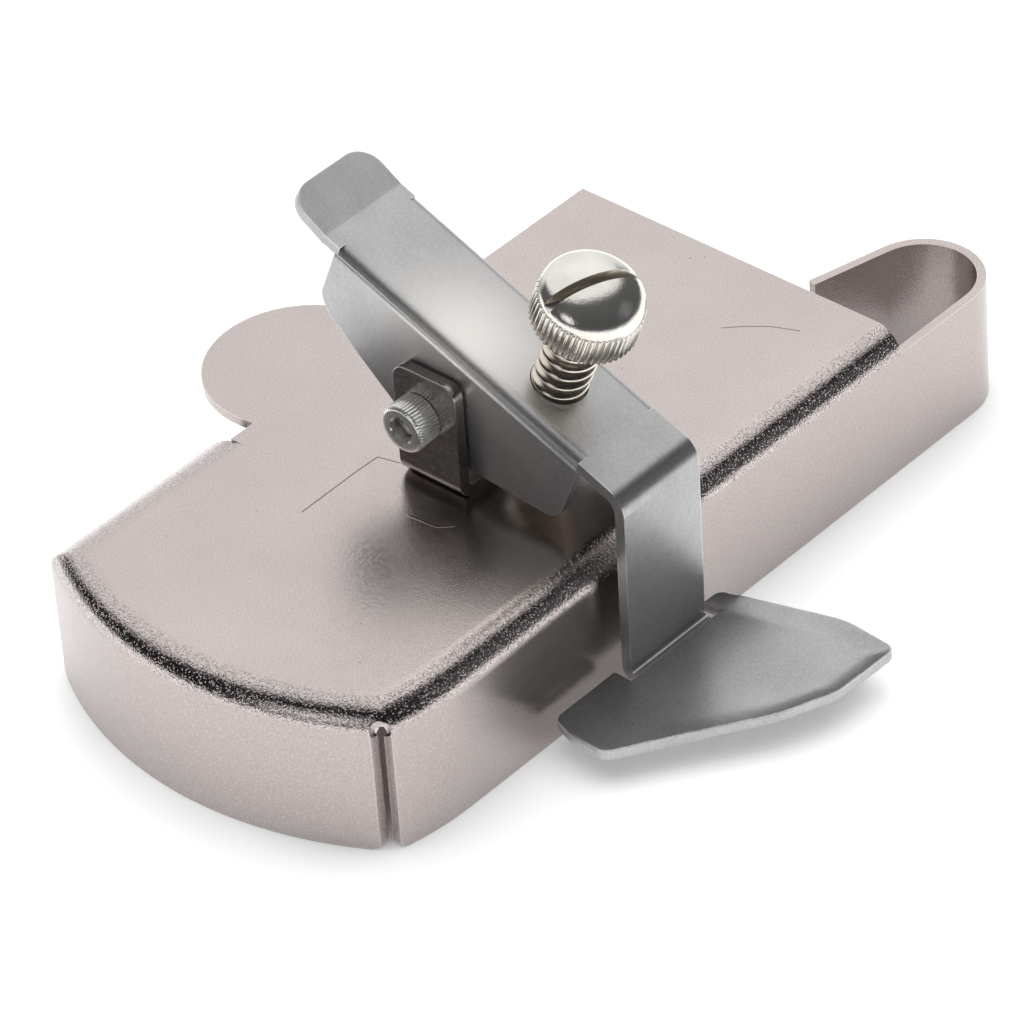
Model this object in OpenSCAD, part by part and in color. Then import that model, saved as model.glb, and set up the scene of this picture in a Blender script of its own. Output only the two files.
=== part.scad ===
// Pressed sheet-metal bed cover with a rocking edge-guide arm.
//
// The bed cover is an open shallow box: a flat top, a straight guide wall on
// +X, a convex front wall on -Y and a short wall on -X. A flat round ear sticks
// out on -X, and the guide wall runs on past the back edge of the top into an
// open loop. A bracket riveted on the top carries the arm on a cap screw and a
// bush; a knurled stop screw through the arm sets the height of the foot.
//
// Frame: millimetres, +Z up, z = 0 is the plane of the rim. The origin is on
// the axis of the open loop, in the rim plane. +X points away from the guide
// wall's outer face towards the foot, +Y to the back, where the loop is.
//
// In names, _t is a thickness, _w a width, _h a height, _l a length, _r a
// radius, _d a diameter and _n a count.

/* [Bed cover] */
// Thickness of the cover sheet
cover_t = 1.0; // [0.8:0.1:1.2]
// Height of the top face over the rim plane
bed_h = 17.5; // [16.5:0.1:18]
// Width of the top, from the guide wall's outer face to the plain back-left edge
top_w = 43.3; // [42.8:0.1:43.4]
// Width at the front, from the guide wall's outer face to the short left wall's outer face
front_w = 48.0; // [47.6:0.1:48.2]
// Outer bend radius along the guide wall
bend_r = 3.3; // [2.8:0.1:3.5]
// Outer bend radius along the short left wall
left_r = 6.6; // [6.0:0.1:6.8]
// Outer radius of the convex front wall, seen from above
front_arc_r = 42.2; // [42:0.1:42.6]
// Radius of the flat round ear
ear_r = 10.6; // [10:0.1:11.2]

/* [Open loop] */
// Outer radius of the loop
loop_r = 6.75; // [6.5:0.05:7]
// Distance from the back edge of the top to the loop's axis
loop_reach = 11.9; // [11:0.1:12.5]
// Flare of the returning leg, in degrees
loop_flare = 15; // [8:1:18]
// Length of the returning leg
loop_leg = 9.7; // [8:0.1:10]
// Height of the loop's strip over the rim plane
loop_h = 14.8; // [14:0.1:15]

/* [Arm] */
// Thickness of the arm's sheet
arm_t = 1.2; // [1.0:0.1:1.2]
// Width of the arm over its two flanges
arm_w = 12.1; // [11.7:0.1:12.1]
// Slope of the arm's top, in degrees, at rest
arm_slope = 22.5; // [22:0.5:23]
// Outer radius where the arm turns down past the guide wall
shoulder_r = 3.0; // [2.4:0.1:3.2]
// Height of the foot's top face over the rim plane
foot_z = 4.4; // [4:0.1:5]

/* [Bracket] */
// Thickness of the bracket's sheet
bracket_t = 1.35; // [1.2:0.05:1.35]
// Width of the bracket along X
bracket_w = 8.3; // [8:0.1:9]
// Height of the pivot axis over the rim plane
pivot_z = 26.2; // [26:0.1:26.4]

/* [Screws] */
// Major diameter of the pivot cap screw (M3)
pivot_d = 3.0; // [3.0]
// Major diameter of the stop screw's thread (M6 size)
stop_d = 6.0; // [6.0]
// Pitch of the stop screw's thread
stop_pitch = 1.5; // [1.0:0.25:1.5]
// Diameter over the knurl of the stop screw's head
knurl_d = 11.2; // [10.6:0.1:11.4]
// Height of the head's underside over the arm, at rest
stop_gap = 9.4; // [8:0.1:10]
// Number of knurl ridges
knurl_n = 52; // [40:2:56]

/* [Hidden] */
$fn = 72;
eps = 0.01;   // small overlap between joined or cut shapes

// Bed coordinates: X = 0 at the guide wall's outer face, Y = 0 at the back edge.
// Each node is drawn in them and moved by this into the frame.
bed_origin = [loop_r, -loop_reach, 0];

// bracket
bracket_x1 = -17.3;
bracket_x0 = bracket_x1 - bracket_w;
bracket_gap = 0.5;     // total play between the arm and the bracket's ears
bracket_l = arm_w + bracket_gap + 2 * bracket_t;
bracket_y0 = -48.6;    // front face of the front ear
bracket_y1 = bracket_y0 + bracket_l;
bracket_h = 13.9;
bracket_fold_r = 0.5;  // inside the folds
pivot_x = -22.1;

// rivets
rivet_ys = [-44.0, -37.9];
rivet_x = (bracket_x0 + bracket_x1) / 2;
rivet_head_h = 0.7;

// arm: u runs down the slope and n out of the arm's top face, from arm_origin [x, z]
arm_origin = [-17.6, 34.5];
arm_y0 = bracket_y0 + bracket_t + bracket_gap / 2;
arm_y1 = arm_y0 + arm_w;
flange_u0 = -17.2;
flange_u1 = 16.6;
flange_depth = 18;     // before trimming to the side outline
fold_r = 1.7;          // outside the folds of the flanges
shoulder_u = 20.40;
upright_l = 19.05;
upright_lean = 1.0;    // degrees past upright
bush_r = 2.25;
pivot_u = (pivot_x - arm_origin[0]) * cos(arm_slope)
        - (pivot_z - arm_origin[1]) * sin(arm_slope);

// stop screw: where its axis meets the arm's top face, and its tip over the bed
stop_x = -10.1;
stop_y = -40.8;
stop_z = arm_origin[1] - (stop_x - arm_origin[0]) * tan(arm_slope);
tip_r = 2.3;
tip_gap = 0.05;
tip_drop = (stop_z - (bed_h + tip_gap + sin(arm_slope) * tip_r)) / cos(arm_slope);

// ---- helpers ---------------------------------------------------------------

function unit(v) = v / norm(v);
function flat(point) = [point[0], point[1]];

// arc of radius r that rounds the corner at point, between its two neighbours
function corner(before, point, after, r, steps = 8) =
    r <= 0 ? [flat(point)] :
    let (
        to_before = unit(flat(before) - flat(point)),
        to_after = unit(flat(after) - flat(point)),
        half = acos(max(-1, min(1, to_before * to_after))) / 2,
        centre = flat(point) + unit(to_before + to_after) * (r / sin(half)),
        first = flat(point) + to_before * (r / tan(half)) - centre,
        last = flat(point) + to_after * (r / tan(half)) - centre,
        start = atan2(first[1], first[0]),
        raw_turn = atan2(last[1], last[0]) - start,
        turn = raw_turn > 180 ? raw_turn - 360 : raw_turn < -180 ? raw_turn + 360 : raw_turn
    )
    [for (i = [0:steps])
        let (angle = start + turn * i / steps) centre + r * [cos(angle), sin(angle)]];

// closed outline from corners [x, y, radius]
function rounded(corners) =
    let (count = len(corners))
    [for (i = [0:count - 1])
        each corner(corners[(i + count - 1) % count], corners[i],
                    corners[(i + 1) % count], corners[i][2])];

// carries a shape drawn in the X-Z plane to its place and gives it depth y0..y1
module slab(y0, y1) {
    translate([0, y1, 0]) rotate([90, 0, 0]) linear_extrude(y1 - y0) children();
}

// slice of a ring between two angles less than 180 degrees apart
module ring_slice(outer_r, inner_r, from, to) {
    function ray(angle) = 3 * outer_r * [cos(angle), sin(angle)];
    intersection() {
        difference() {
            circle(outer_r);
            circle(inner_r);
        }
        polygon([[0, 0], ray(from), ray((from + to) / 2), ray(to)]);
    }
}

// block with its two lower corners rounded
module cup(w, h, r) {
    translate([0, r]) square([w, h - r]);
    translate([r, 0]) square([w - 2 * r, h]);
    for (x = [r, w - r]) translate([x, r]) circle(r);
}

// section of a U channel that opens upwards; r is outside the folds
module channel_section(w, h, r, t) {
    difference() {
        cup(w, h, r);
        translate([t, t]) cup(w - 2 * t, h, r - t);
    }
}

// strip of arm sheet: heads +x with its outer face on y = 0, then its children
strip_lap = 0.02;
module strip(l) {
    translate([-strip_lap, -arm_t]) square([l + 2 * strip_lap, arm_t]);
    translate([l, 0]) children();
}
module turn_down(angle, outer_r) {
    translate([0, -outer_r]) ring_slice(outer_r, outer_r - arm_t, 90 - angle, 90);
    translate([outer_r * sin(angle), outer_r * cos(angle) - outer_r]) rotate(-angle) children();
}
module turn_up(angle, inner_r) {
    translate([0, inner_r]) ring_slice(inner_r + arm_t, inner_r, -90, -90 + angle);
    translate([inner_r * sin(angle), inner_r - inner_r * cos(angle)]) rotate(angle) children();
}

// arm frame in the flat: x = u, y = n
module arm_plane() { translate(arm_origin) rotate(-arm_slope) children(); }
// arm frame in space: x = u, z = n
module on_slope() {
    translate([arm_origin[0], 0, arm_origin[1]]) rotate([0, arm_slope, 0]) children();
}
// stop screw frame: +Z out along the screw, z = 0 on the arm's top face
module on_stop() { translate([stop_x, stop_y, stop_z]) rotate([0, arm_slope, 0]) children(); }
// pivot frame: +Z towards +Y along the pivot
module on_pivot(y) { translate([pivot_x, y, pivot_z]) rotate([-90, 0, 0]) children(); }

// ---- bed cover ---------------------------------------------------------------

under = 5;             // how far the forms run below the rim plane
form_l = 60;           // reach of the straight forms, past the whole cover
front_arc_x = -24.08;
front_arc_y = -42.42;
sweep_r = 34;          // the guide wall's inward sweep near the front corner
sweep_y = -68.5;       // where the sweep begins
left_end = -54.85;     // back end of the short left wall
ear_x = -45.85;
ear_y = -41.2;
notch_h = 14.95;
notch_w = 4;
notch_l = 5;
notch_top_r = 1.1;
wall_end_r = 1;        // free lower corners of the walls at the notches
// front corners: [notch x, notch y, side, front wall's y, side wall's x]
front_corners = [
    [-2.65, -77.35, 1, -78.6, -2.4],
    [-front_w + 1.25, -76.7, -1, -77.2, -front_w - 0.5]
];

// block from x0 to x1 with its top edge at x1 rounded, inset from the outer skin
module edge_profile(inset, r, x0, x1) {
    translate([x0, -under]) square([x1 - x0 - inset, bed_h - r + under]);
    translate([x0, -under]) square([x1 - x0 - r, bed_h - inset + under]);
    translate([x1 - r, bed_h - r]) circle(r - inset);
}
module guide_side(inset) {
    slab(sweep_y, 6) edge_profile(inset, bend_r, -form_l, 0);
    translate([-sweep_r, sweep_y, 0]) rotate_extrude() edge_profile(inset, bend_r, 0, sweep_r);
}
module left_side(inset) {
    translate([-front_w, 0, 0]) mirror([1, 0, 0])
        slab(-90, left_end) edge_profile(inset, left_r, -form_l, 0);
    translate([-60, left_end, -under]) cube([70, 80, bed_h - inset + under]);
}
module front_side(inset) {
    translate([front_arc_x, front_arc_y, 0])
        rotate_extrude($fn = 144) edge_profile(inset, bend_r, 0, front_arc_r);
    translate([-70, front_arc_y, -under]) cube([80, 60, bed_h - inset + under]);
}
module bed_form(inset) {
    intersection() {
        guide_side(inset);
        left_side(inset);
        front_side(inset);
    }
}

// notch through a front corner, with a round cut along the diagonal at its top
module corner_notch(x, y, side) {
    translate([side > 0 ? x : x - notch_w, y - notch_l, -1])
        cube([notch_w, notch_l, notch_h + 1]);
    translate([x + side * 0.1, y - 0.1, notch_h])
        rotate([90, 0, side * 44]) cylinder(r = notch_top_r, h = 6);
}
// rounds the lower corner of the front wall's end, which faces side
module round_front_end(x, y, side) {
    r = wall_end_r;
    difference() {
        translate([side > 0 ? x - r : x, y - 3, -1]) cube([r + eps, 4, r + 1]);
        translate([x - side * r, y - 4, r]) rotate([-90, 0, 0]) cylinder(r = r, h = 6);
    }
}
// rounds the lower corner of a side wall's front end
module round_side_end(x, y) {
    r = wall_end_r;
    difference() {
        translate([x, y - eps, -1]) cube([2.2, r + eps, r + 1]);
        translate([x - 1, y + r, r]) rotate([0, 90, 0]) cylinder(r = r, h = 4.2);
    }
}

module rivet_holes() {
    for (y = rivet_ys) translate([rivet_x, y, 10]) cylinder(r = 1.5, h = 20);
}

// sheet shell, cut back to the plain left edge behind the short left wall
module bed_shell() {
    difference() {
        intersection() {
            bed_form(0);
            translate([-80, -100, 0]) cube([90, 100, 40]);
        }
        bed_form(cover_t);
        translate([-80, left_end, -6]) cube([80 - top_w, 80, 40]);
    }
}

// guide wall carried past the back edge, and the open loop
module open_loop() {
    lap = 0.3;
    leg_lap = 0.04;
    leg_inset = 0.004;
    translate([-cover_t, -lap, 0]) cube([cover_t, loop_reach + lap, loop_h]);
    translate([-loop_r, loop_reach, 0]) linear_extrude(loop_h) {
        ring_slice(loop_r, loop_r - cover_t, 0, 180 - loop_flare);
        rotate(180 - loop_flare) translate([loop_r - cover_t + leg_inset, -leg_lap])
            square([cover_t - leg_inset, loop_leg + leg_lap]);
    }
}

module bed_cover() color([0.80, 0.77, 0.76]) translate(bed_origin)
    difference() {
        union() {
            bed_shell();
            translate([ear_x, ear_y, bed_h - cover_t])
                cylinder(r = ear_r, h = cover_t, $fn = 96);
            open_loop();
        }
        for (c = front_corners) {
            corner_notch(c[0], c[1], c[2]);
            round_front_end(c[0], c[3], c[2]);
            round_side_end(c[4], c[1]);
        }
        rivet_holes();
    }

// ---- bracket, rivets ----------------------------------------------------------

// outline of the bracket's ears: [x, z, corner radius]
ear_outline = [
    [bracket_x0, bed_h - 1, 0], [bracket_x1, bed_h - 1, 0],
    [bracket_x1, bed_h + bracket_h, 1.5], [bracket_x0, bed_h + bracket_h, 1.7]
];

module pivot_bracket() color([0.45, 0.43, 0.42]) translate(bed_origin)
    difference() {
        intersection() {
            translate([bracket_x0, bracket_y0, bed_h])
                rotate([90, 0, 90]) linear_extrude(bracket_w)
                    channel_section(bracket_l, bracket_h, bracket_t + bracket_fold_r, bracket_t);
            slab(bracket_y0 - 1, bracket_y1 + 1) polygon(rounded(ear_outline));
        }
        on_pivot(bracket_y0 - 1) cylinder(d = pivot_d + 0.2, h = bracket_l + 2);
        rivet_holes();
    }

module bracket_rivets() color([0.62, 0.60, 0.58]) translate(bed_origin)
    for (y = rivet_ys) translate([rivet_x, y, 0]) {
        translate([0, 0, bed_h - cover_t - 0.3])
            cylinder(r = 1.48, h = cover_t + bracket_t + 0.6);
        translate([0, 0, bed_h + bracket_t]) cylinder(r1 = 2.4, r2 = 2.1, h = rivet_head_h);
        translate([0, 0, bed_h - cover_t - rivet_head_h])
            cylinder(r1 = 2.1, r2 = 2.4, h = rivet_head_h);
    }

// ---- arm ------------------------------------------------------------------------

// side outline of the channel: [u, n, corner radius]
channel_outline = [
    [flange_u0 - 1, 1, 0], [flange_u0 - 1, -1.2, 0], [flange_u0, -1.2, 0], [-18.0, -8.2, 4.5],
    [pivot_u + 0.6, -14.5, 5.2], [16.35, -9.4, 2.6], [flange_u1 + 1, -1.2, 0],
    [flange_u1 + 1, 1, 0]
];

// foot seen from above, in bed coordinates: [x, y, corner radius]
foot_outline = [
    [1.3, -47.9, 0], [1.3, -57.0, 1.4], [4.2, -58.0, 4.0], [8.6, -58.2, 1.6],
    [12.3, -52.6, 30], [18.9, -43.6, 12], [21.6, -37.5, 6], [21.9, -28.6, 1.2],
    [15.0, -28.1, 8], [3.2, -31.7, 2.4], [1.4, -31.6, 1.0], [1.3, -34.1, 0],
    [3.6, -34.1, 0], [3.6, -47.9, 0]
];

// thumb tab at the upper end
tab_u = -18.83;        // where its bend starts
tab_l = 5.6;
tab_up = 9.7;          // degrees
tab_bend_r = 1;
tab_corner_r = 2.8;
tab_y0 = arm_y0 + 0.2;
tab_y1 = arm_y1 - 0.6;

collar_l = 2.6;
collar_r = 4.1;

// panel between two flanges
module arm_channel() {
    intersection() {
        on_slope() translate([flange_u0, arm_y0, 0])
            rotate([90, 0, 90]) linear_extrude(flange_u1 - flange_u0)
                rotate(180) translate([-arm_w, 0])
                    channel_section(arm_w, flange_depth, fold_r, arm_t);
        slab(arm_y0 - 1, arm_y1 + 1) arm_plane() polygon(rounded(channel_outline));
    }
}

// shoulder, upright and the bend into the foot
module arm_upright() {
    lap = 0.3;
    slab(arm_y0, arm_y1 - 0.65) arm_plane() translate([flange_u1 - lap, 0])
        strip(shoulder_u - flange_u1 + lap)
            turn_down(90 - arm_slope + upright_lean, shoulder_r)
                strip(upright_l) turn_up(90 + upright_lean, 0.4) strip(1.6);
}

// bent up a little, with rounded corners
module thumb_tab() {
    slab(tab_y0, tab_y1) arm_plane() {
        translate([tab_u, 0]) strip(flange_u0 - tab_u + 0.3);
        translate([tab_u, tab_bend_r])
            ring_slice(tab_bend_r + arm_t, tab_bend_r, -90 - tab_up, -90);
    }
    r = tab_corner_r;
    tab_w = tab_y1 - tab_y0;
    on_slope() translate([tab_u, 0, tab_bend_r]) rotate([0, tab_up, 0])
        translate([-tab_l, 0, -tab_bend_r - arm_t]) linear_extrude(arm_t) union() {
            translate([r, tab_y0]) square([tab_l - r, tab_w]);
            translate([0, tab_y0 + r]) square([r + 0.1, tab_w - 2 * r]);
            for (y = [tab_y0 + r, tab_y1 - r]) translate([r, y]) circle(r);
        }
}

module rocker_arm() color([0.66, 0.67, 0.68]) translate(bed_origin)
    difference() {
        union() {
            arm_channel();
            arm_upright();
            thumb_tab();
            // foot
            translate([0, 0, foot_z - arm_t]) linear_extrude(arm_t)
                polygon(rounded(foot_outline));
            // drawn collar that carries the stop screw's thread
            on_stop() translate([0, 0, -arm_t - collar_l])
                cylinder(r = collar_r, h = collar_l + 0.4);
        }
        on_stop() translate([0, 0, -8]) cylinder(r = stop_d / 2 + 0.05, h = 12);
        on_pivot(arm_y0 - 1) cylinder(r = bush_r + 0.05, h = arm_w + 2);
    }

// ---- pivot ------------------------------------------------------------------------

screw_l = 18;
screw_tip = 0.4;       // length of the tapered end
cap_d = 5.5;
cap_h = 3.0;
cap_bevel = 0.3;
nut_flats = 5.5;
nut_h = 2.4;
nut_d = 6.6;           // of the round form that bevels the nut's corners
nut_face_d = 5.6;
nut_bevel = 0.4;

module pivot_bush() color([0.72, 0.70, 0.66]) translate(bed_origin)
    on_pivot(bracket_y0 + bracket_t) difference() {
        cylinder(r = bush_r, h = arm_w + bracket_gap);
        translate([0, 0, -1]) cylinder(d = pivot_d + 0.1, h = arm_w + 3);
    }

module pivot_screw() color([0.78, 0.77, 0.75]) translate(bed_origin)
    on_pivot(bracket_y0) {
        // cap with a hex socket
        difference() {
            union() {
                translate([0, 0, cap_bevel - cap_h]) cylinder(d = cap_d, h = cap_h - cap_bevel);
                translate([0, 0, -cap_h])
                    cylinder(d1 = cap_d - 2 * cap_bevel, d2 = cap_d, h = cap_bevel);
            }
            translate([0, 0, -cap_h - 0.5]) cylinder(d = 2.5 / cos(30), h = 1.9, $fn = 6);
        }
        translate([0, 0, -0.5]) cylinder(d = pivot_d, h = screw_l - screw_tip + 0.5);
        translate([0, 0, screw_l - screw_tip]) cylinder(d1 = pivot_d, d2 = 2.3, h = screw_tip);
    }

module pivot_nut() color([0.70, 0.69, 0.67]) translate(bed_origin)
    on_pivot(bracket_y1) difference() {
        intersection() {
            cylinder(d = nut_flats / cos(30), h = nut_h, $fn = 6);
            union() {
                translate([0, 0, -eps]) cylinder(d1 = nut_face_d, d2 = nut_d, h = nut_bevel);
                translate([0, 0, nut_bevel - eps])
                    cylinder(d = nut_d, h = nut_h - 2 * nut_bevel + 2 * eps);
                translate([0, 0, nut_h - nut_bevel])
                    cylinder(d1 = nut_d, d2 = nut_face_d, h = nut_bevel + eps);
            }
        }
        translate([0, 0, -1]) cylinder(d = pivot_d + 0.06, h = 5);
    }

// torsion spring round the bush: one leg on the bed, the other under the arm
coil_r = 3.0;
wire_r = 0.35;
coil_y0 = -43.4;
coil_start = -55;
coil_end = 48.6 + 360 * 5;
coil_pitch = 0.8;
coil_steps = 86;
bed_leg = 10.0;
arm_leg = 14.8;
function coil_point(angle) = [
    pivot_x + coil_r * cos(angle),
    coil_y0 + coil_pitch * (angle - coil_start) / 360,
    pivot_z + coil_r * sin(angle)
];
function coil_dir(angle) = [-sin(angle), 0, cos(angle)];
spring_path = [
    coil_point(coil_start) - bed_leg * coil_dir(coil_start),
    for (i = [0:coil_steps]) coil_point(coil_start + (coil_end - coil_start) * i / coil_steps),
    coil_point(coil_end) + arm_leg * coil_dir(coil_end)
];

// round wire of radius r along path, with the given number of sides
module wire(path, r, sides = 10) {
    last = len(path) - 1;
    points = [for (i = [0:last])
        let (
            along = unit(path[min(i + 1, last)] - path[max(i - 1, 0)]),
            across = unit(cross(along, [0, 1, 0])),
            third = cross(along, across)
        )
        for (k = [0:sides - 1])
            path[i] + r * (cos(360 * k / sides) * across + sin(360 * k / sides) * third)];
    faces = concat(
        [[for (k = [0:sides - 1]) k]],
        [for (i = [0:last - 1]) for (k = [0:sides - 1])
            let (a = i * sides + k, b = i * sides + (k + 1) % sides)
            each [[a, a + sides, b], [b, a + sides, b + sides]]],
        [[for (k = [sides - 1:-1:0]) last * sides + k]]);
    polyhedron(points, faces);
}
module return_spring() color([0.55, 0.55, 0.56]) translate(bed_origin) wire(spring_path, wire_r);

// ---- stop screw ---------------------------------------------------------------------

thread_depth = 0.62;
thread_n = 16;         // points round the thread's section
plain_tip = 1.6;       // unthreaded length at the tip
neck_lap = 0.5;        // the thread stops and the neck starts this far below the head
rim_h = 3.9;           // knurled rim of the head, under a high dome
dome_h = 3.2;
dome_steps = 15;
dome_inset = 0.17;
knurl_depth = 0.28;
slot_w = 1.1;
slot_z = 4.3;

module stop_screw_stud() color([0.82, 0.79, 0.74]) translate(bed_origin) on_stop() {
    l = stop_gap - neck_lap + tip_drop - plain_tip;
    // thread: an uneven round section twisted along the screw
    translate([0, 0, plain_tip - tip_drop])
        linear_extrude(l, twist = -360 * l / stop_pitch, slices = ceil(8 * l / stop_pitch),
                       $fn = thread_n)
            polygon([for (i = [0:thread_n - 1])
                let (
                    angle = 360 * i / thread_n,
                    cut = max(0, min(1, 1.35 * abs(2 * i / thread_n - 1) - 0.15))
                )
                (stop_d / 2 - thread_depth * cut) * [cos(angle), sin(angle)]]);
    // core and tip
    translate([0, 0, -tip_drop]) cylinder(r = tip_r, h = tip_drop + stop_gap - 0.2);
    // neck in the head's bore
    translate([0, 0, stop_gap - neck_lap - eps]) cylinder(r = 2.35, h = 2.9);
}

// rim with its upper and lower edges bevelled
module knurled_rim(r) {
    over_r = r + 0.05;
    intersection() {
        linear_extrude(rim_h) polygon([for (i = [0:4 * knurl_n - 1])
            let (angle = 90 * i / knurl_n)
            (r - (i % 4 < 2 ? 0 : knurl_depth)) * [cos(angle), sin(angle)]]);
        union() {
            cylinder(r1 = r - 0.35, r2 = over_r, h = 0.4);
            translate([0, 0, 0.39]) cylinder(r = over_r, h = rim_h - 0.52);
            translate([0, 0, rim_h - 0.14]) cylinder(r1 = over_r, r2 = r - 0.12, h = 0.17);
        }
    }
}

module dome(r) {
    rotate_extrude($fn = 96) polygon([
        [0, rim_h - 0.5],
        [r, rim_h - 0.5],
        for (i = [0:dome_steps - 1])
            let (angle = 90 * i / dome_steps) [r * cos(angle), rim_h + dome_h * sin(angle)],
        [0, rim_h + dome_h]
    ]);
}

module stop_screw_head() color([0.85, 0.84, 0.81]) translate(bed_origin) on_stop()
    translate([0, 0, stop_gap]) rotate([0, 0, -18])
        difference() {
            union() {
                knurled_rim(knurl_d / 2);
                dome(knurl_d / 2 - dome_inset);
            }
            // slot across the dome, and the bore for the neck
            translate([-slot_w / 2, -8, slot_z]) cube([slot_w, 16, 6]);
            translate([0, 0, -1]) cylinder(r = 2.4, h = 3.5);
        }

bed_cover();
pivot_bracket();
bracket_rivets();
rocker_arm();
pivot_bush();
pivot_screw();
pivot_nut();
return_spring();
stop_screw_stud();
stop_screw_head();
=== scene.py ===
"""A sheet metal bed that carries a sprung rocker arm and its stop screw.

Sizes are in millimetres, and meshes are written in metres. In the bed's frame X = 0 is the
guide wall's outer face, Y = 0 is the top's back edge, -Y is the front and Z is up.
"""
import bpy, bmesh, math
from functools import reduce
from mathutils import Vector, Matrix, geometry

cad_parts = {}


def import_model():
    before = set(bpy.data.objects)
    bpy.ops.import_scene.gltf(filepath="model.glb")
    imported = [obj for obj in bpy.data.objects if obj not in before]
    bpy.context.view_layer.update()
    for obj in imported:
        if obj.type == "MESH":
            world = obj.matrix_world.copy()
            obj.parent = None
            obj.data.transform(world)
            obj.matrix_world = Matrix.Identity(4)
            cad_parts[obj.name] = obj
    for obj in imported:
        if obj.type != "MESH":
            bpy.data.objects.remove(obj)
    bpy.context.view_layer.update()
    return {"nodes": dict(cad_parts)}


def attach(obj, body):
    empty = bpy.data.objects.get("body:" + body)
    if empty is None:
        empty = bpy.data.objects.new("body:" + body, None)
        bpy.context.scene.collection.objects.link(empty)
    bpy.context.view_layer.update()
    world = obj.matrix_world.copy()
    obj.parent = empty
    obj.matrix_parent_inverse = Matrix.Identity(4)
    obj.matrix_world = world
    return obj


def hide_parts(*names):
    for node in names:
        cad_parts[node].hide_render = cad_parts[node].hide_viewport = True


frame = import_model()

MM = 0.001
rad = math.radians

BED_ORIGIN = Vector((6.75, -11.9, 0.0))    # the bed's frame in the CAD's frame
COVER_TOP = 17.5
PIVOT_X, PIVOT_Z = -22.1, 26.2             # the pivot's axis runs along Y


def on_bed(x, y, z):
    """A point of the bed's frame, in mm of the CAD's frame."""
    return Vector((x, y, z)) + BED_ORIGIN


def metres(x, y, z):
    """The same point as on_bed, as a tuple in metres."""
    return tuple(on_bed(x, y, z) * MM)


# ---------------------------------------------------------------- node helpers

class Tree:
    """Short hand for building a node tree. Any input may be a number, a socket or a node."""

    def __init__(self, node_tree):
        self.links = node_tree.links
        self.nodes = node_tree.nodes
        self.nodes.clear()

    def add(self, kind, inputs=None, **props):
        node = self.nodes.new(kind)
        for key, value in props.items():
            setattr(node, key, value)
        for key, value in (inputs or {}).items():
            self.put(node.inputs[key], value)
        return node

    def put(self, socket, value):
        if hasattr(value, "is_output"):
            self.links.new(value, socket)
        elif hasattr(value, "outputs"):
            self.links.new(value.outputs[0], socket)
        else:
            socket.default_value = value

    def math(self, operation, *values, clamp=False):
        node = self.add("ShaderNodeMath", operation=operation, use_clamp=clamp)
        if len(values) == 1:
            values += (0.0,)
        for i, value in enumerate(values):
            self.put(node.inputs[i], value)
        return node.outputs[0]

    def times(self, value, by, clamp=False):
        return self.math("MULTIPLY", value, by, clamp=clamp)

    def minus(self, value, other):
        return self.math("SUBTRACT", value, other)

    def centred(self, noise):
        return self.minus(noise, 0.5)

    def scaled(self, value, gain, base):
        """value * gain + base"""
        return self.math("MULTIPLY_ADD", value, gain, base)

    def larger(self, first, second):
        return self.math("MAXIMUM", first, second)

    def vector(self, operation, first, second=None, scale=None):
        node = self.add("ShaderNodeVectorMath", {0: first}, operation=operation)
        if second is not None:
            self.put(node.inputs[1], second)
        if scale is not None:
            self.put(node.inputs["Scale"], scale)
        is_number = operation in ("LENGTH", "DOT_PRODUCT", "DISTANCE")
        return node.outputs["Value" if is_number else "Vector"]

    def ramp(self, value, span, to=(0.0, 1.0)):
        """Smooth step that carries the span's two ends to the two values in to."""
        return self.add("ShaderNodeMapRange", {
            "Value": value, "From Min": span[0], "From Max": span[1], "To Min": to[0],
            "To Max": to[1]}, interpolation_type="SMOOTHSTEP").outputs[0]

    def mix(self, factor, first, second):
        node = self.add("ShaderNodeMix", data_type="RGBA")
        for key, value in (("Factor", factor), ("A", first), ("B", second)):
            self.put(node.inputs[key], value)
        return node.outputs["Result"]

    def tint(self, tone, mask, amount, colour):
        return self.mix(self.times(mask, amount), tone, colour)

    def split_z(self, vector):
        return self.add("ShaderNodeSeparateXYZ", {"Vector": vector}).outputs["Z"]


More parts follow.
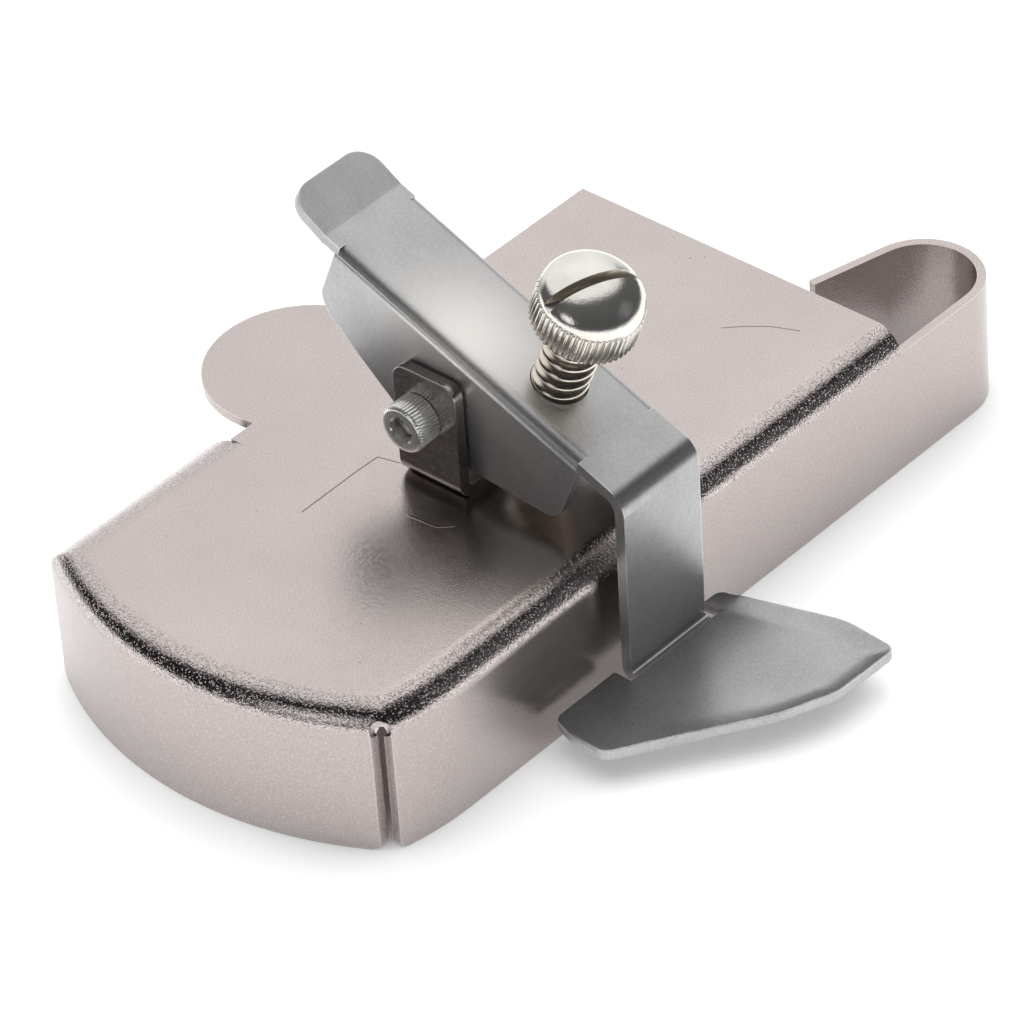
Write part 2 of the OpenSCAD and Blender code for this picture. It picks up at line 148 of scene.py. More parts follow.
class Surface(Tree):
    """A material's tree, with its shader and its object coordinates."""

    def __init__(self, name, metallic=1.0):
        self.material = bpy.data.materials.new(name)
        self.material.use_nodes = True
        super().__init__(self.material.node_tree)
        out = self.add("ShaderNodeOutputMaterial")
        self.shader = self.add("ShaderNodeBsdfPrincipled", {"Metallic": metallic})
        self.put(out.inputs["Surface"], self.shader)
        self.coord = self.add("ShaderNodeTexCoord").outputs["Object"]

    def set(self, name, value):
        self.put(self.shader.inputs[name], value)

    def noise(self, scale, detail=2.0, roughness=0.5, coord=None):
        return self.add("ShaderNodeTexNoise", {
            "Vector": coord or self.coord, "Scale": scale, "Detail": detail,
            "Roughness": roughness, "Distortion": 0.0}).outputs["Fac"]

    def distance(self, place):
        return self.vector("DISTANCE", self.coord, place)

    def edges(self, radius):
        """1 on edges sharper than the bevel radius (mm), 0 on flats."""
        bevel = self.add("ShaderNodeBevel", {"Radius": radius * MM}, samples=4)
        face = self.add("ShaderNodeNewGeometry")
        agreement = self.vector("DOT_PRODUCT", bevel.outputs[0], face.outputs["Normal"])
        return self.ramp(agreement, span=(0.995, 0.86))

    def segment_distance(self, start, end):
        """Distance to the segment start-end, all in metres."""
        start, end = Vector(start), Vector(end)
        along = end - start
        offset = self.vector("SUBTRACT", self.coord, tuple(start))
        share = self.times(self.vector("DOT_PRODUCT", offset, tuple(along)),
                           by=1.0 / along.length_squared, clamp=True)
        foot = self.vector("SCALE", tuple(along), scale=share)
        return self.vector("LENGTH", self.vector("SUBTRACT", offset, foot))

    def scratch(self, points, width):
        """Mask of a thin line through points on the cover's top, in mm."""
        distances = (self.segment_distance(metres(*start, COVER_TOP), metres(*end, COVER_TOP))
                     for start, end in zip(points, points[1:]))
        nearest = reduce(lambda one, other: self.math("MINIMUM", one, other), distances)
        return self.ramp(nearest, span=(width * MM, width * 0.25 * MM))

    def finish(self, tone, roughness, height, strength, depth):
        """Connects the looks; depth is the bump's distance in mm."""
        self.set("Base Color", tone)
        self.set("Roughness", roughness)
        self.set("Normal", self.add("ShaderNodeBump", {
            "Height": height, "Strength": strength, "Distance": depth * MM}))
        return self.material


def rgb(red, green, blue):
    """Linear colour from 0..255 screen values."""
    def linear(level):
        level /= 255.0
        return level / 12.92 if level <= 0.04045 else ((level + 0.055) / 1.055) ** 2.4
    return (linear(red), linear(green), linear(blue), 1.0)


# ---------------------------------------------------------------- materials

# marks on the cover's top: lines through (x, y), then pin marks as (x, y, radius)
DARK_SCRATCH = [(-29.2, -59.4), (-29.3, -50.9), (-29.2, -48.1), (-26.7, -47.5)]
ARC_SCRATCH = [(-15.3, -10.4), (-13.6, -8.8), (-11.4, -7.2), (-8.5, -6.0)]
LIGHT_SCRATCH = [(-20.3, -53.4), (-16.7, -53.1), (-15.4, -51.9)]
PIN_MARKS = [(-25.9, -2.9, 0.16), (-24.8, -1.9, 0.13), (-33.0, -62.0, 0.13), (-12.5, -69.0, 0.12),
             (-8.5, -73.5, 0.14), (-37.5, -70.5, 0.12), (-19.0, -22.0, 0.13)]


def cover_material():
    """Satin nickel with polishing swirl, scratches and pin marks."""
    tree = Surface("satin_nickel_cover")
    face = tree.add("ShaderNodeNewGeometry")
    upright = tree.math("ABSOLUTE", tree.split_z(face.outputs["Normal"]))
    # the pressed bends are coarser than the flats
    bend = tree.times(tree.ramp(upright, span=(0.06, 0.35)),
                      tree.ramp(upright, span=(0.9995, 0.97)))
    cloud = tree.noise(scale=45.0, detail=4.0, roughness=0.6)
    mottle = tree.noise(scale=260.0, detail=3.0, roughness=0.6)
    peel = tree.noise(scale=3400.0, roughness=0.6)
    grain = tree.noise(scale=5200.0, detail=1.0)
    spark = tree.ramp(tree.noise(scale=4300.0, detail=0.0), span=(0.60, 0.74))
    fine = tree.noise(scale=9500.0, detail=1.0)
    # faint swirl left by polishing
    swirl_radius = tree.distance(metres(-24, -44, COVER_TOP))
    swirl = tree.math("SINE", tree.scaled(swirl_radius, gain=5200.0,
                                          base=tree.times(cloud, by=60.0)))

    tone = tree.mix(tree.ramp(cloud, span=(0.3, 0.7)), rgb(203, 194, 192), rgb(210, 200, 197))
    tone = tree.tint(tone, tree.ramp(mottle, span=(0.5, 0.8)), amount=0.10,
                     colour=rgb(190, 174, 168))
    # painted shade: the walls, whose faces don't point up, are painted darker than the top
    tone = tree.tint(tone, tree.ramp(upright, span=(0.45, 0.1)), amount=0.9,
                     colour=rgb(182, 173, 171))
    tone = tree.tint(tone, tree.ramp(grain, span=(0.48, 0.70)),
                     amount=tree.scaled(bend, gain=0.25, base=0.16), colour=rgb(120, 112, 110))
    tone = tree.tint(tone, tree.ramp(grain, span=(0.46, 0.28)),
                     amount=tree.scaled(bend, gain=0.4, base=0.20), colour=rgb(240, 236, 234))

    dark = tree.scratch(DARK_SCRATCH, width=0.10)
    arc = tree.scratch(ARC_SCRATCH, width=0.10)
    light = tree.scratch(LIGHT_SCRATCH, width=0.12)
    dots = reduce(tree.larger, (
        tree.ramp(tree.distance(metres(x, y, COVER_TOP)), span=(radius * MM, 0.4 * radius * MM))
        for x, y, radius in PIN_MARKS))
    marks = tree.larger(tree.larger(dark, arc), tree.times(dots, by=0.7))
    tone = tree.tint(tone, marks, amount=0.75, colour=rgb(92, 76, 68))
    # painted highlight: the sharp edges are painted lighter
    tone = tree.tint(tone, tree.edges(0.22), amount=0.6, colour=rgb(236, 232, 229))

    rough = tree.math("ADD", tree.ramp(mottle, span=(0.3, 0.75), to=(0.21, 0.235)),
                      tree.times(cloud, by=0.04))
    rough = tree.minus(rough, tree.times(bend, by=0.09))
    rough = tree.minus(rough, tree.times(light, by=0.12))

    height = tree.times(tree.centred(peel), tree.scaled(bend, gain=0.9, base=0.35))
    height = tree.scaled(tree.centred(fine), gain=tree.scaled(bend, gain=0.25, base=0.22),
                         base=height)
    height = tree.scaled(tree.times(spark, tree.scaled(bend, gain=1.1, base=0.20)), gain=1.0,
                         base=height)
    height = tree.scaled(swirl, gain=0.012, base=height)
    height = tree.minus(height, tree.times(marks, by=0.8))
    height = tree.math("ADD", height, tree.times(light, by=0.7))
    return tree.finish(tone, rough, height, strength=0.55, depth=0.05)


def sheet_material(name, low, high, edge_highlight, rough, grain, axis=(1, 1, 1), metal=1.0,
                   painted_highlight=None):
    """Fine matt sheet: even speckle, faint rolling lines, edges lightened by a painted highlight.

    axis stretches the rolling lines; the last argument gives the centre and radius in mm of a
    painted highlight, a bright spot on the sheet.
    """
    tree = Surface(name, metal)
    cloud = tree.noise(scale=70.0, detail=4.0, roughness=0.6)
    speck = tree.noise(scale=3000.0, roughness=0.6)
    fine = tree.noise(scale=9000.0, detail=1.0)
    rolled = tree.add("ShaderNodeMapping", {"Vector": tree.coord, "Scale": axis}).outputs[0]
    lines = tree.noise(scale=5200.0, detail=1.0, coord=rolled)
    stain = tree.noise(scale=520.0, detail=4.0, roughness=0.7)
    tone = tree.mix(tree.ramp(cloud, span=(0.3, 0.7)), low, high)
    tone = tree.tint(tone, tree.ramp(stain, span=(0.62, 0.78)), amount=0.35,
                     colour=rgb(96, 92, 90))
    # painted highlight: a bright round spot mixed into the tone
    if painted_highlight:
        centre, radius = painted_highlight
        spot = tree.ramp(tree.distance(metres(*centre)), span=(radius * MM, 0.0), to=(0.0, 0.9))
        tone = tree.mix(spot, tone, rgb(244, 240, 236))
    tone = tree.tint(tone, tree.ramp(speck, span=(0.3, 0.8)), amount=0.22,
                     colour=rgb(235, 236, 238))
    # painted highlight: the sharp edges are painted in a light tone
    edge = tree.edges(0.25)
    tone = tree.tint(tone, edge, amount=0.7, colour=edge_highlight)
    roughness = tree.scaled(speck, gain=0.10, base=rough - 0.05)
    roughness = tree.minus(roughness, tree.times(edge, by=0.10))
    height = tree.scaled(tree.centred(speck), gain=0.5 * grain,
                         base=tree.times(lines, by=0.25 * grain))
    height = tree.scaled(tree.centred(fine), gain=0.25 * grain, base=height)
    return tree.finish(tone, roughness, height, strength=0.45, depth=0.03)


def bright_material(name, low, high, rough, hollow_shade, bump, metal=1.0):
    """Bright plated piece: slight dents, painted shade in its grooves and a painted highlight on
    its edges.
    """
    tree = Surface(name, metal)
    cloud = tree.noise(scale=300.0, detail=3.0, roughness=0.6)
    dent = tree.noise(scale=900.0)
    fine = tree.noise(scale=7000.0, detail=1.0)
    shade = tree.add("ShaderNodeAmbientOcclusion", {"Distance": 1.2 * MM}, samples=4,
                     only_local=True)
    deep = tree.ramp(shade.outputs["AO"], span=(0.85, 0.35))
    tone = tree.mix(tree.ramp(cloud, span=(0.3, 0.7)), low, high)
    # painted shade: hollows found by ambient occlusion are painted dark
    tone = tree.tint(tone, deep, amount=0.8, colour=hollow_shade)
    # painted highlight: the sharp edges are painted lighter
    tone = tree.tint(tone, tree.edges(0.12), amount=0.5, colour=rgb(250, 248, 244))
    roughness = tree.scaled(cloud, gain=0.08, base=rough - 0.04)
    roughness = tree.scaled(deep, gain=0.12, base=roughness)
    height = tree.scaled(tree.centred(fine), gain=0.55, base=tree.centred(dent))
    return tree.finish(tone, roughness, height, strength=bump, depth=0.05)


COVER = cover_material()
# the arm's panel gets a painted highlight near its middle, given by the last argument
ARM = sheet_material("fine_matt_steel", low=rgb(168, 168, 169), high=rgb(188, 188, 188),
                     edge_highlight=rgb(250, 250, 250), rough=0.32, grain=1.6,
                     axis=(0.06, 1, 0.06), metal=0.9, painted_highlight=((-19.0, -44.5, 35.0), 13.0))
BRACKET = sheet_material("nickel_bracket", low=rgb(150, 144, 141), high=rgb(166, 160, 157),
                         edge_highlight=rgb(245, 242, 238), rough=0.22, grain=0.6)
HEAD = bright_material("bright_nickel", low=rgb(232, 229, 223), high=rgb(242, 239, 233),
                       rough=0.15, hollow_shade=rgb(150, 134, 112), bump=0.42, metal=0.9)
STUD = bright_material("nickel_thread", low=rgb(236, 226, 212), high=rgb(244, 236, 224),
                       rough=0.22, hollow_shade=rgb(184, 160, 130), bump=0.15)
CAP = bright_material("steel_cap_screw", low=rgb(236, 235, 232), high=rgb(246, 245, 242),
                      rough=0.18, hollow_shade=rgb(50, 48, 46), bump=0.2, metal=0.8)
SPRING = bright_material("drawn_wire", low=rgb(150, 150, 150), high=rgb(170, 170, 170),
                         rough=0.25, hollow_shade=rgb(60, 58, 56), bump=0.1)


# ---------------------------------------------------------------- mesh helpers

def shade(obj, angle):
    obj.data.shade_smooth()
    obj.data.set_sharp_from_angle(angle=rad(angle))


def link_new(name, data):
    obj = bpy.data.objects.new(name, data)
    bpy.context.scene.collection.objects.link(obj)
    return obj


def mesh_object(name, shape):
    mesh = bpy.data.meshes.new(name)
    shape.to_mesh(mesh)
    shape.free()
    return link_new(name, mesh)


def new_object(name, shape, material, angle=35.0):
    shape.normal_update()
    obj = mesh_object(name, shape)
    obj.data.materials.append(material)
    shade(obj, angle)
    return obj


def adopt(obj, body, slot, *nodes):
    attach(obj, body)
    if nodes:
        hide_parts(*nodes)


def apply_modifiers(obj, angle=35.0):
    bpy.context.view_layer.update()
    graph = bpy.context.evaluated_depsgraph_get()
    mesh = bpy.data.meshes.new_from_object(obj.evaluated_get(graph))
    obj.modifiers.clear()
    obj.data = mesh
    shade(obj, angle)


def round_edges(obj, width, angle, segments, smooth):
    """Rounds edges sharper than angle, then shades smooth below the smooth angle."""
    bevel = obj.modifiers.new("round", "BEVEL")
    bevel.width = width * MM
    bevel.segments = segments
    bevel.limit_method = "ANGLE"
    bevel.angle_limit = rad(angle)
    apply_modifiers(obj, smooth)


def cut_away(obj, cutter):
    cut = obj.modifiers.new("cut", "BOOLEAN")
    cut.operation = "DIFFERENCE"
    cut.object = cutter
    cut.solver = "EXACT"
    apply_modifiers(obj)
    bpy.data.objects.remove(cutter)


def box_cutter(low, high, matrix=None):
    """A cutter box between two corners in mm."""
    shape = bmesh.new()
    bmesh.ops.create_cube(shape, size=1.0)
    low, high = Vector(low), Vector(high)
    for vert in shape.verts:
        vert.co = Vector([low[i] + (vert.co[i] + 0.5) * (high[i] - low[i])
                          for i in range(3)]) * MM
    if matrix is not None:
        shape.transform(matrix)
    return mesh_object("cutter", shape)


def cone_cutter(place, middle, depth, low_radius, top_radius, segments, turn=0.0):
    """A cutter cone about the Z axis of place, its middle at that height in mm."""
    shape = bmesh.new()
    bmesh.ops.create_cone(shape, cap_ends=True, segments=segments, radius1=low_radius * MM,
                          radius2=top_radius * MM, depth=depth * MM)
    shape.transform(place @ Matrix.Translation((0, 0, middle * MM))
                    @ Matrix.Rotation(rad(turn), 4, "Z"))
    return mesh_object("cutter", shape)


def revolve(heights, count, place, radius):
    """Closed mesh of rings, one at each height; radius(row, turn) is in mm."""
    shape = bmesh.new()
    rings = []
    for row, height in enumerate(heights):
        ring = []
        for k in range(count):
            turn = 2 * math.pi * k / count
            reach = radius(row, turn)
            local = Vector((reach * math.cos(turn), reach * math.sin(turn), height)) * MM
            ring.append(shape.verts.new(place @ local))
        rings.append(ring)
    for low, high in zip(rings, rings[1:]):
        for k in range(count):
            after = (k + 1) % count
            shape.faces.new((low[k], low[after], high[after], high[k]))
    shape.faces.new(list(reversed(rings[0])))
    shape.faces.new(rings[-1])
    return shape


def fluted(name, profile, place, material, ridges, steps, depth, half_width, flank):
    """Revolved (height, radius, groove share) profile; groove widths are shares of a pitch."""
    def radius(row, turn):
        phase = (turn * ridges / (2 * math.pi)) % 1.0
        groove = max(0.0, min(1.0, (half_width - abs(phase - 0.5)) / flank))
        return profile[row][1] - depth * profile[row][2] * groove

    heights = [station[0] for station in profile]
    return new_object(name, revolve(heights, ridges * steps, place, radius), material, 50.0)


def axis_frame(origin, z, x):
    """Matrix in metres with its origin in mm, its Z along z and its X towards x."""
    z = Vector(z).normalized()
    x = (Vector(x) - z * Vector(x).dot(z)).normalized()
    matrix = Matrix((x, z.cross(x), z)).transposed().to_4x4()
    matrix.translation = Vector(origin) * MM
    return matrix


# ---------------------------------------------------------------- pieces kept from the CAD

def cad_piece(name, node, material, rounding, smooth, slot, even=True, body="bed", cuts=()):
    """A welded CAD mesh with flat faces merged, boxes cut away and edges rounded."""
    shape = bmesh.new()
    shape.from_mesh(frame["nodes"][node].data)
    bmesh.ops.remove_doubles(shape, verts=shape.verts, dist=2e-6)
    bmesh.ops.dissolve_limit(shape, angle_limit=rad(0.6), verts=shape.verts, edges=shape.edges)
    obj = new_object(name, shape, material)
    for low, high in cuts:
        cut_away(obj, box_cutter(low, high))
    round_edges(obj, *rounding, smooth)
    if even:
        # keeps flat faces shading flat beside the rounded edges
        normals = obj.modifiers.new("even", "WEIGHTED_NORMAL")
        normals.keep_sharp = True
        normals.weight = 80
    adopt(obj, body, slot, node)


# name, CAD node, material, rounding (width, least angle, segments), smooth angle, slot, even
BED_PIECES = [
    ("cover_sheet", "bed_cover", COVER, (0.13, 42.0, 2), 30.0, "cover", True),
    ("bracket_sheet", "pivot_bracket", BRACKET, (0.22, 42.0, 3), 30.0, "bracket", True),
    ("rivet_pair", "bracket_rivets", CAP, (0.25, 30.0, 3), 40.0, "rivet", True),
    ("hex_nut", "pivot_nut", CAP, (0.08, 30.0, 2), 40.0, "fastener", True),
    ("bush_tube", "pivot_bush", STUD, (0.08, 40.0, 2), 40.0, "bush", False),
]
for piece in BED_PIECES:
    cad_piece(*piece)

# ---------------------------------------------------------------- arm, with a dished foot

FOLD_X, FOLD_FRONT, FOLD_BACK = 3.6, -47.9, -34.1    # the foot's straight joint to the arm
FOOT_LOW, FOOT_TOP = 3.2, 4.4
RIM_WIDTH, RIM_LIFT = 2.4, 0.62                      # the turned up edge

# the foot's outline: x, y, corner radius
FOOT = [(1.3, FOLD_FRONT, 0), (1.3, -57.0, 1.4), (4.2, -58.0, 4.0), (8.6, -58.2, 1.6),
        (12.3, -52.6, 30), (18.9, -43.6, 12), (21.6, -37.5, 6), (21.9, -28.6, 1.2),
        (15.0, -28.1, 8), (3.2, -31.7, 2.4), (1.4, -31.6, 1.0), (1.3, FOLD_BACK, 0),
        (FOLD_X, FOLD_BACK, 0), (FOLD_X, FOLD_FRONT, 0)]

# boxes that clear the CAD's own foot: low and high corners
ARM_CUTS = [(on_bed(FOLD_X, -70, 0), on_bed(30, -20, 6)),
            (on_bed(0.5, -70, 0), on_bed(30, -47.45, 6)),
            (on_bed(0.5, -34.5, 0), on_bed(30, -20, 6))]


def rounded(stations, steps=10):
    """The outline's points, with an arc at each corner that has a radius."""
    out = []
    for i, (x, y, radius) in enumerate(stations):
        corner = Vector((x, y))
        if radius <= 0:
            out.append(corner)
            continue
        to_last = (Vector(stations[i - 1][:2]) - corner).normalized()
        to_next = (Vector(stations[(i + 1) % len(stations)][:2]) - corner).normalized()
        half = math.acos(max(-1, min(1, to_last.dot(to_next)))) / 2
        centre = corner + (to_last + to_next).normalized() * (radius / math.sin(half))
        start = corner + to_last * (radius / math.tan(half)) - centre
        end = corner + to_next * (radius / math.tan(half)) - centre
        first = math.atan2(start.y, start.x)
        sweep = (math.atan2(end.y, end.x) - first + math.pi) % (2 * math.pi) - math.pi
        for k in range(steps + 1):
            turn = first + sweep * k / steps
            out.append(centre + radius * Vector((math.cos(turn), math.sin(turn))))
    return out


def densify(loop, step):
    out = []
    for i, start in enumerate(loop):
        end = loop[(i + 1) % len(loop)]
        count = max(1, math.ceil((end - start).length / step))
        out += [start.lerp(end, k / count) for k in range(count)]
    return out


def rim_weight(spot):
    """How strongly the foot's edge is turned up at a point of its outline."""
    if spot.x < FOLD_X + 0.1 and FOLD_FRONT - 0.1 < spot.y < FOLD_BACK + 0.1:
        return 0.0
    if spot.y > -36.0:
        return max(0.0, min(1.0, (spot.x - 1.0) / 3.0))
    return max(0.0, min(1.0, (spot.y + 53.5) / 14.0)) if spot.x > 10 else 0.0


def is_inside(spot, loop):
    inside = False
    for i, start in enumerate(loop):
        end = loop[(i + 1) % len(loop)]
        if (start.y > spot.y) != (end.y > spot.y) and spot.x < (
                (end.x - start.x) * (spot.y - start.y) / (end.y - start.y) + start.x):
            inside = not inside
    return inside


def fill_points(loop, step=0.38, margin=0.24):
    """Staggered rows of points inside the loop, clear of its points by the margin."""
    points = []
    y, row = -58.5, 0
    while y < -27.5:
        x = 1.0 + (row % 2) * step / 2
        while x < 22.5:
            spot = Vector((x, y))
            if is_inside(spot, loop) and min((spot - edge).length for edge in loop) > margin:
                points.append(spot)
            x += step
        y += step * 0.87
        row += 1
    return points


def foot_plate():
    loop = densify(rounded(FOOT), 0.35)
    weights = [rim_weight(spot) for spot in loop]
    borders = [(i, (i + 1) % len(loop)) for i in range(len(loop))]
    flat_points, _, triangles, *_ = geometry.delaunay_2d_cdt(
        loop + fill_points(loop), borders, [], 1, 1e-6)

    def lift(spot):
        best = 0.0
        for edge, weight in zip(loop, weights):
            if weight > 0:
                gap = (spot - edge).length
                if gap < RIM_WIDTH:
                    best = max(best, weight * RIM_LIFT * (1 - gap / RIM_WIDTH) ** 1.6)
        return best

    shape = bmesh.new()
    lifts = [lift(Vector(spot)) for spot in flat_points]
    top, low = ([shape.verts.new((spot[0], spot[1], base + rise))
                 for spot, rise in zip(flat_points, lifts)] for base in (FOOT_TOP, FOOT_LOW))
    for triangle in triangles:
        one, two, three = (top[i].co for i in triangle)
        flip = (two - one).xy.to_3d().cross((three - one).xy.to_3d()).z < 0
        order = list(reversed(triangle)) if flip else list(triangle)
        shape.faces.new([top[i] for i in order])
        shape.faces.new([low[i] for i in reversed(order)])
    shape.normal_update()

    # side walls
    below = dict(zip(top, low))
    rim = [edge for edge in shape.edges if len(edge.link_faces) == 1 and edge.verts[0] in below]
    for edge in rim:
        corner = [c for c in edge.link_faces[0].loops if c.edge == edge][0]
        start, end = corner.vert, corner.link_loop_next.vert
        shape.faces.new((end, start, below[start], below[end]))
    shape.normal_update()

    def on_fold(vert):
        return (abs(vert.co.x - FOLD_X) < 0.05
                and FOLD_FRONT - 0.05 < vert.co.y < FOLD_BACK + 0.05)

    sharp = [edge for edge in shape.edges
             if len(edge.link_faces) == 2 and edge.calc_face_angle(0) > rad(60)
             and not all(on_fold(vert) for vert in edge.verts)
             and abs(edge.verts[0].co.z - edge.verts[1].co.z) < 0.5]
    bmesh.ops.bevel(shape, geom=sharp, offset=0.16, segments=2, profile=0.5, affect="EDGES",
                    clamp_overlap=True)
    for vert in shape.verts:
        vert.co = (vert.co + BED_ORIGIN) * MM
    return shape


cad_piece("arm_sheet", "rocker_arm", ARM, (0.14, 42.0, 2), 30.0, "arm", body="arm",
          cuts=ARM_CUTS)
adopt(new_object("arm_foot", foot_plate(), ARM, 40.0), "arm", "arm")

# ---------------------------------------------------------------- stop screw

SLOPE = rad(22.5)                                 # the screw leans towards +X by this
SLOPE_COS, SLOPE_SIN = math.cos(SLOPE), math.sin(SLOPE)
STOP_Z = 34.5 - 7.5 * math.tan(SLOPE)             # 7.5 along X down the slope
STOP = axis_frame(on_bed(-10.1, -40.8, STOP_Z), (SLOPE_SIN, 0, SLOPE_COS),
                  (SLOPE_COS, 0, -SLOPE_SIN))
TIP_DROP = (STOP_Z - (COVER_TOP + 0.05 + SLOPE_SIN * 2.3)) / SLOPE_COS
HEAD_LOW = 9.4                                    # the head's underside, along the screw
RIM_TOP, DOME_RADIUS, DOME_HEIGHT, SLOT_TURN = 3.9, 5.42, 3.18, -18.0


def stop_head():
    """Ridged, domed head with a slot across it and a hole up from below."""
    profile = [(0.0, 2.5, 0), (0.0, 5.0, 0), (0.04, 5.1, 0), (0.30, 5.50, 1), (0.42, 5.57, 1),
               (1.8, 5.58, 1), (RIM_TOP - 0.22, 5.57, 1), (RIM_TOP - 0.1, 5.53, 1),
               (RIM_TOP - 0.04, 5.47, 0.75), (RIM_TOP, DOME_RADIUS, 0)]
    for k in range(1, 32):
        rise = rad(90) * k / 32.0
        profile.append((RIM_TOP + DOME_HEIGHT * math.sin(rise), DOME_RADIUS * math.cos(rise), 0))
    place = (STOP @ Matrix.Translation((0, 0, HEAD_LOW * MM))
             @ Matrix.Rotation(rad(SLOT_TURN), 4, "Z"))
    obj = fluted("stop_head", profile, place, HEAD, ridges=52, steps=10, depth=0.30,
                 half_width=0.34, flank=0.2)
    cut_away(obj, box_cutter((-0.55, -8, 4.3), (0.55, 8, 9), place))
    cut_away(obj, cone_cutter(place, middle=-1.0, depth=7, low_radius=2.42, top_radius=2.42,
                              segments=64))
    round_edges(obj, width=0.07, angle=62.0, segments=2, smooth=42.0)
    return obj


def stop_stud():
    """Threaded stud, plain at its tip and inside the head."""
    pitch, crest, root = 1.5, 2.98, 2.30
    tip, step = -TIP_DROP, 0.075
    count = int((HEAD_LOW - 0.25 - tip) / step)
    heights = [tip, tip + 0.02, tip + 0.28]
    heights += [tip + 0.28 + step * (k + 1) for k in range(count - 4)]
    heights += [HEAD_LOW - 0.2, HEAD_LOW + 2.3]

    def radius(row, turn):
        z = heights[row]
        if row < 2:
            return (1.9, 2.0)[row]
        if z > HEAD_LOW - 0.3:
            return 2.34
        if z <= tip + 0.5:
            return 2.28
        phase = ((z / pitch) - turn / (2 * math.pi)) % 1.0
        thread = (0.5 - 0.5 * math.cos(2 * math.pi * phase)) ** 0.75
        fade_in = min(1.0, max(0.0, (z - tip - 0.9) / 1.2))
        fade_out = min(1.0, max(0.0, (HEAD_LOW - 0.35 - z) / 0.5))
        return root + (crest - root) * thread * (fade_in * fade_out)

    return new_object("stop_stud", revolve(heights, 96, STOP, radius), STUD, 55.0)


adopt(stop_head(), "knob", "stop_screw", "stop_screw_head")
adopt(stop_stud(), "stud", "stop_screw", "stop_screw_stud")

# ---------------------------------------------------------------- pivot screw

def pivot_screw():
    """Cap screw along +Y with a ridged head and a hexagon socket."""
    place = axis_frame(on_bed(PIVOT_X, -48.6, PIVOT_Z), (0, 1, 0), (1, 0, 0))
    head, shank, socket_width = 3.0, 1.49, 2.5
    profile = [(-head, 1.9, 0), (-head, 2.30, 0), (-2.95, 2.42, 0), (-2.72, 2.66, 0.3),
               (-2.6, 2.73, 1), (-1.4, 2.74, 1), (-0.22, 2.74, 1), (-0.1, 2.68, 0.3),
               (0.0, 2.55, 0), (0.0, shank, 0)]
    z = 0.4
    while z < 17.4:
        profile.append((z, shank, 0))
        z += 1.0
    profile += [(17.55, shank, 0), (17.98, 1.15, 0)]
    obj = fluted("pivot_cap_screw", profile, place, CAP, ridges=44, steps=8, depth=0.13,
                 half_width=0.36, flank=0.36)
    corner = socket_width / math.cos(rad(30)) / 2
    cut_away(obj, cone_cutter(place, middle=-3.2, depth=3.2, low_radius=corner,
                              top_radius=corner, segments=6, turn=12))
    cut_away(obj, cone_cutter(place, middle=-2.87, depth=0.42, low_radius=1.62, top_radius=1.2,
                              segments=48))
    round_edges(obj, width=0.05, angle=62.0, segments=2, smooth=42.0)
    return obj


adopt(pivot_screw(), "bed", "fastener", "pivot_screw")

# ---------------------------------------------------------------- spring

def spring():
    """Coil about the pivot, with a straight leg at each end."""
    coil_front, coil_radius, wire_radius, pitch = -43.4, 3.0, 0.35, 0.8
    first, last = rad(-55), rad(48.6 + 5 * 360)
    coil_steps, sides = 260, 14

    def coil(turn):
        return on_bed(PIVOT_X + coil_radius * math.cos(turn),
                      coil_front + pitch * (turn - first) / (2 * math.pi),
                      PIVOT_Z + coil_radius * math.sin(turn))

    def tangent(turn):
        return Vector((-math.sin(turn), 0, math.cos(turn)))

    path = [coil(first) - tangent(first) * (10.0 - k * 0.5) for k in range(20)]
    path += [coil(first + (last - first) * k / coil_steps) for k in range(coil_steps + 1)]
    path += [coil(last) + tangent(last) * (0.5 + 0.5 * k) for k in range(29)]
    end = len(path) - 1
    shape = bmesh.new()
    rings = []
    for i, centre in enumerate(path):
        ahead = (path[min(i + 1, end)] - path[max(i - 1, 0)]).normalized()
        side = ahead.cross(Vector((0, 1, 0))).normalized()
        other = ahead.cross(side)
        radius = wire_radius * (0.8 if i in (0, end) else 1.0)
        turns = [2 * math.pi * k / sides for k in range(sides)]
        rings.append([shape.verts.new(
            (centre + radius * (math.cos(turn) * side + math.sin(turn) * other)) * MM)
            for turn in turns])
    for ring, after in zip(rings, rings[1:]):
        for k in range(sides):
            j = (k + 1) % sides
            shape.faces.new((ring[k], after[k], after[j], ring[j]))
    shape.faces.new(rings[0])
    shape.faces.new(list(reversed(rings[-1])))
    bmesh.ops.recalc_face_normals(shape, faces=shape.faces)
    return new_object("spring_wire", shape, SPRING, 50.0)


adopt(spring(), "bed", "spring", "return_spring")

# ---------------------------------------------------------------- floor, light, camera

def floor():
    shape = bmesh.new()
    bmesh.ops.create_grid(shape, x_segments=1, y_segments=1, size=0.30)
    tree = Surface("pale_floor", metallic=0.0)
    tree.set("Base Color", tree.mix(tree.noise(scale=6.0, detail=3.0),
                                    (0.93, 0.93, 0.93, 1), (0.95, 0.95, 0.95, 1)))
    tree.set("Roughness", 0.8)
    tree.set("Specular IOR Level", 0.15)
    tree.set("Emission Color", (1, 1, 1, 1))
    # nothing glows under the cover: the glow grows with distance from a box below it
    half_box = (0.012, 0.030, 1.0)
    offset = tree.vector("SUBTRACT", tree.coord, metres(-23, -42, 0))
    beyond = tree.vector("SUBTRACT", tree.vector("ABSOLUTE", offset), half_box)
    outside = tree.vector("LENGTH", tree.vector("MAXIMUM", beyond, (0, 0, 0)))
    tree.set("Emission Strength", tree.ramp(outside, span=(0.004, 0.014), to=(0.0, 0.24)))
    obj = new_object("studio_floor", shape, tree.material)
    obj.location.z = -0.02 * MM


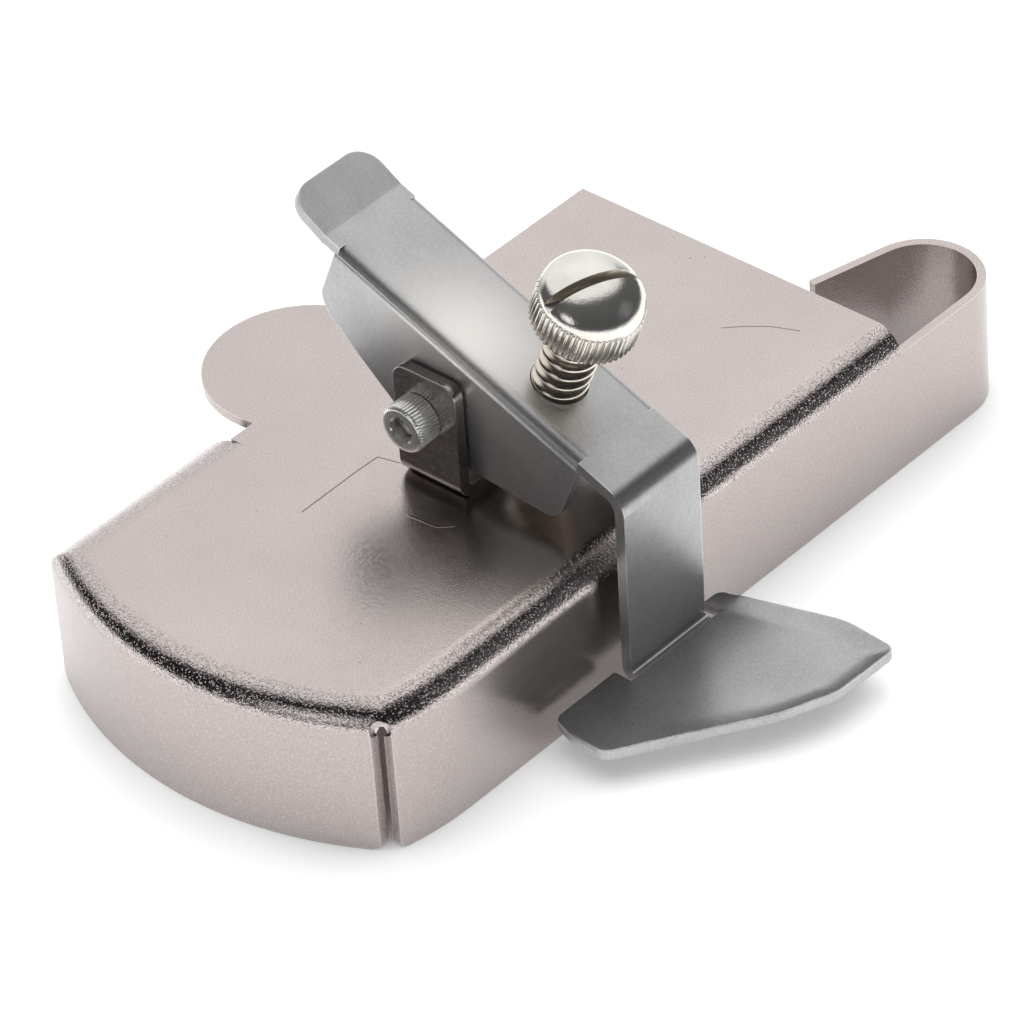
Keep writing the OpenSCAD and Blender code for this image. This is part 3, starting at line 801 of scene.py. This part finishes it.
def world():
    studio = bpy.data.worlds.new("studio")
    bpy.context.scene.world = studio
    studio.use_nodes = True
    tree = Tree(studio.node_tree)
    out = tree.add("ShaderNodeOutputWorld")
    view = tree.add("ShaderNodeTexCoord").outputs["Generated"]
    view_z = tree.split_z(view)

    def lobe(direction, span, level):
        """A soft round light; span is the cosine at its rim and where it is full."""
        toward = tuple(Vector(direction).normalized())
        return tree.times(tree.ramp(tree.vector("DOT_PRODUCT", view, toward), span), level)

    softbox = lobe((-0.40, 0.33, 0.85), span=(0.63, 0.70), level=0.90)    # large, overhead
    core = lobe((-0.30, 0.62, 0.72), span=(0.90, 0.99), level=0.14)       # its brighter part
    window = lobe((0.75, 0.57, 0.33), span=(0.955, 0.99), level=0.10)     # faint, at +X +Y
    sweep = tree.times(tree.ramp(view_z, span=(-0.05, -0.2)), by=0.6)     # past the floor's edge
    wall = lobe((-0.78, 0.60, 0.12), span=(0.66, 0.85), level=0.85)       # pale, at -X +Y
    front = lobe((0.08, -0.95, 0.30), span=(0.965, 0.99), level=1.1)      # low, at -Y
    light = tree.larger(tree.larger(tree.math("ADD", softbox, core), wall),
                        tree.larger(window, sweep))
    light = tree.larger(light, front)
    level = tree.math("ADD", light, 0.02)
    colour = tree.mix(tree.math("MINIMUM", light, 1.0), (0.90, 0.94, 1.0, 1),
                      (1.0, 0.99, 0.98, 1))
    lit = tree.add("ShaderNodeBackground", {"Color": colour, "Strength": level})
    # the camera itself sees plain white
    page = tree.add("ShaderNodeBackground", {"Color": (1, 1, 1, 1), "Strength": 1.0})
    pick = tree.add("ShaderNodeMixShader")
    is_camera = tree.add("ShaderNodeLightPath").outputs["Is Camera Ray"]
    for i, value in enumerate((is_camera, lit, page)):
        tree.put(pick.inputs[i], value)
    tree.put(out.inputs["Surface"], pick)


def fill_light():
    light = bpy.data.lights.new("fill_overhead", "AREA")
    light.shape = "SQUARE"
    light.size = 2.6
    light.energy = 31.0
    obj = link_new("fill_overhead", light)
    obj.location = Vector((0, 0, 1.6))
    obj.rotation_euler = Vector((0, 0, -1.6)).to_track_quat("-Z", "Y").to_euler()
    obj.visible_glossy = False
    obj.visible_camera = False


def camera():
    azimuth, elevation, roll = rad(43.975), rad(37.808), rad(4.374)
    back = Vector((math.sin(azimuth) * math.cos(elevation),
                   -math.cos(azimuth) * math.cos(elevation), math.sin(elevation)))
    level = Vector((math.cos(azimuth), math.sin(azimuth), 0))
    upright = back.cross(level)
    right = level * math.cos(roll) - upright * math.sin(roll)
    up = level * math.sin(roll) + upright * math.cos(roll)
    place = on_bed(-20, -38, 7) + right * -0.613 + up * 1.125 + back * 667.407
    lens = bpy.data.cameras.new("camera")
    lens.sensor_width = 36.0
    lens.lens = 229.47328125
    lens.clip_start = 0.05
    obj = link_new("camera", lens)
    matrix = Matrix((right, up, back)).transposed().to_4x4()
    matrix.translation = place * MM
    obj.matrix_world = matrix
    bpy.context.scene.camera = obj


floor()
world()
fill_light()
camera()
bpy.context.scene.view_settings.view_transform = "Standard"
bpy.context.scene.view_settings.look = "None"
